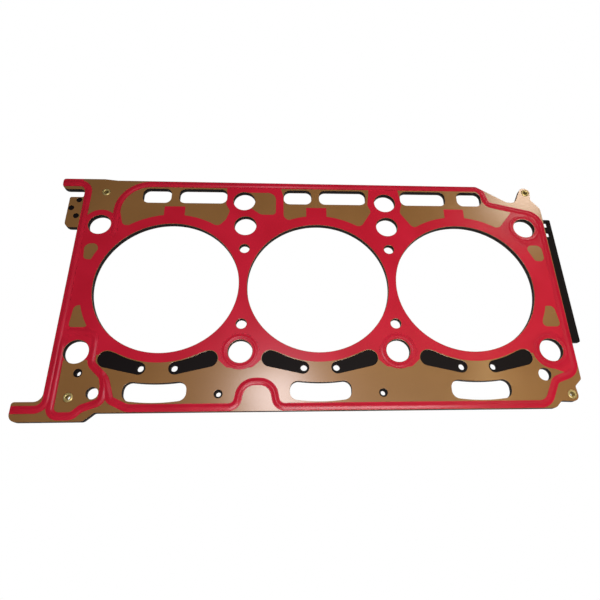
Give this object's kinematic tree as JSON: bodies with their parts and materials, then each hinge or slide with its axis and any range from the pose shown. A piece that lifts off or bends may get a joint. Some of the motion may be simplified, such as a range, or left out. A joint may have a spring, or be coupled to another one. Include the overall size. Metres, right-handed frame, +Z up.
{
  "type": "cylinder head gasket",
  "caption": "Multi-layer steel gasket that seals a cylinder head to its block round a row of bores, with bolt, coolant and oil openings.",
  "frame": {"origin": "on the axis of the middle bore, in the pack's lower face, which is also the centre of both patterns of head bolts", "axes": "+Z up to the cylinder head, +X along the row of bores towards the end with the inner sheet's tab, +Y to the side with the straight coolant slots"},
  "size_m": [0.3174, 0.1562, 0.0038],
  "materials": {
    "bronze_coat": "bronze-coloured coat on steel",
    "red_elastomer": "matt printed elastomer",
    "plain_steel": "rolled steel",
    "black_coat": "black coat on steel",
    "brass": "rolled brass"
  },
  "bodies": {
    "root": {"top_sheet": "bronze_coat", "seal_print": "red_elastomer", "stopper_shim": "plain_steel", "carrier_sheet": "black_coat", "bottom_sheet": "bronze_coat", "eyelets": "brass"}
  },
  "joints": []
}
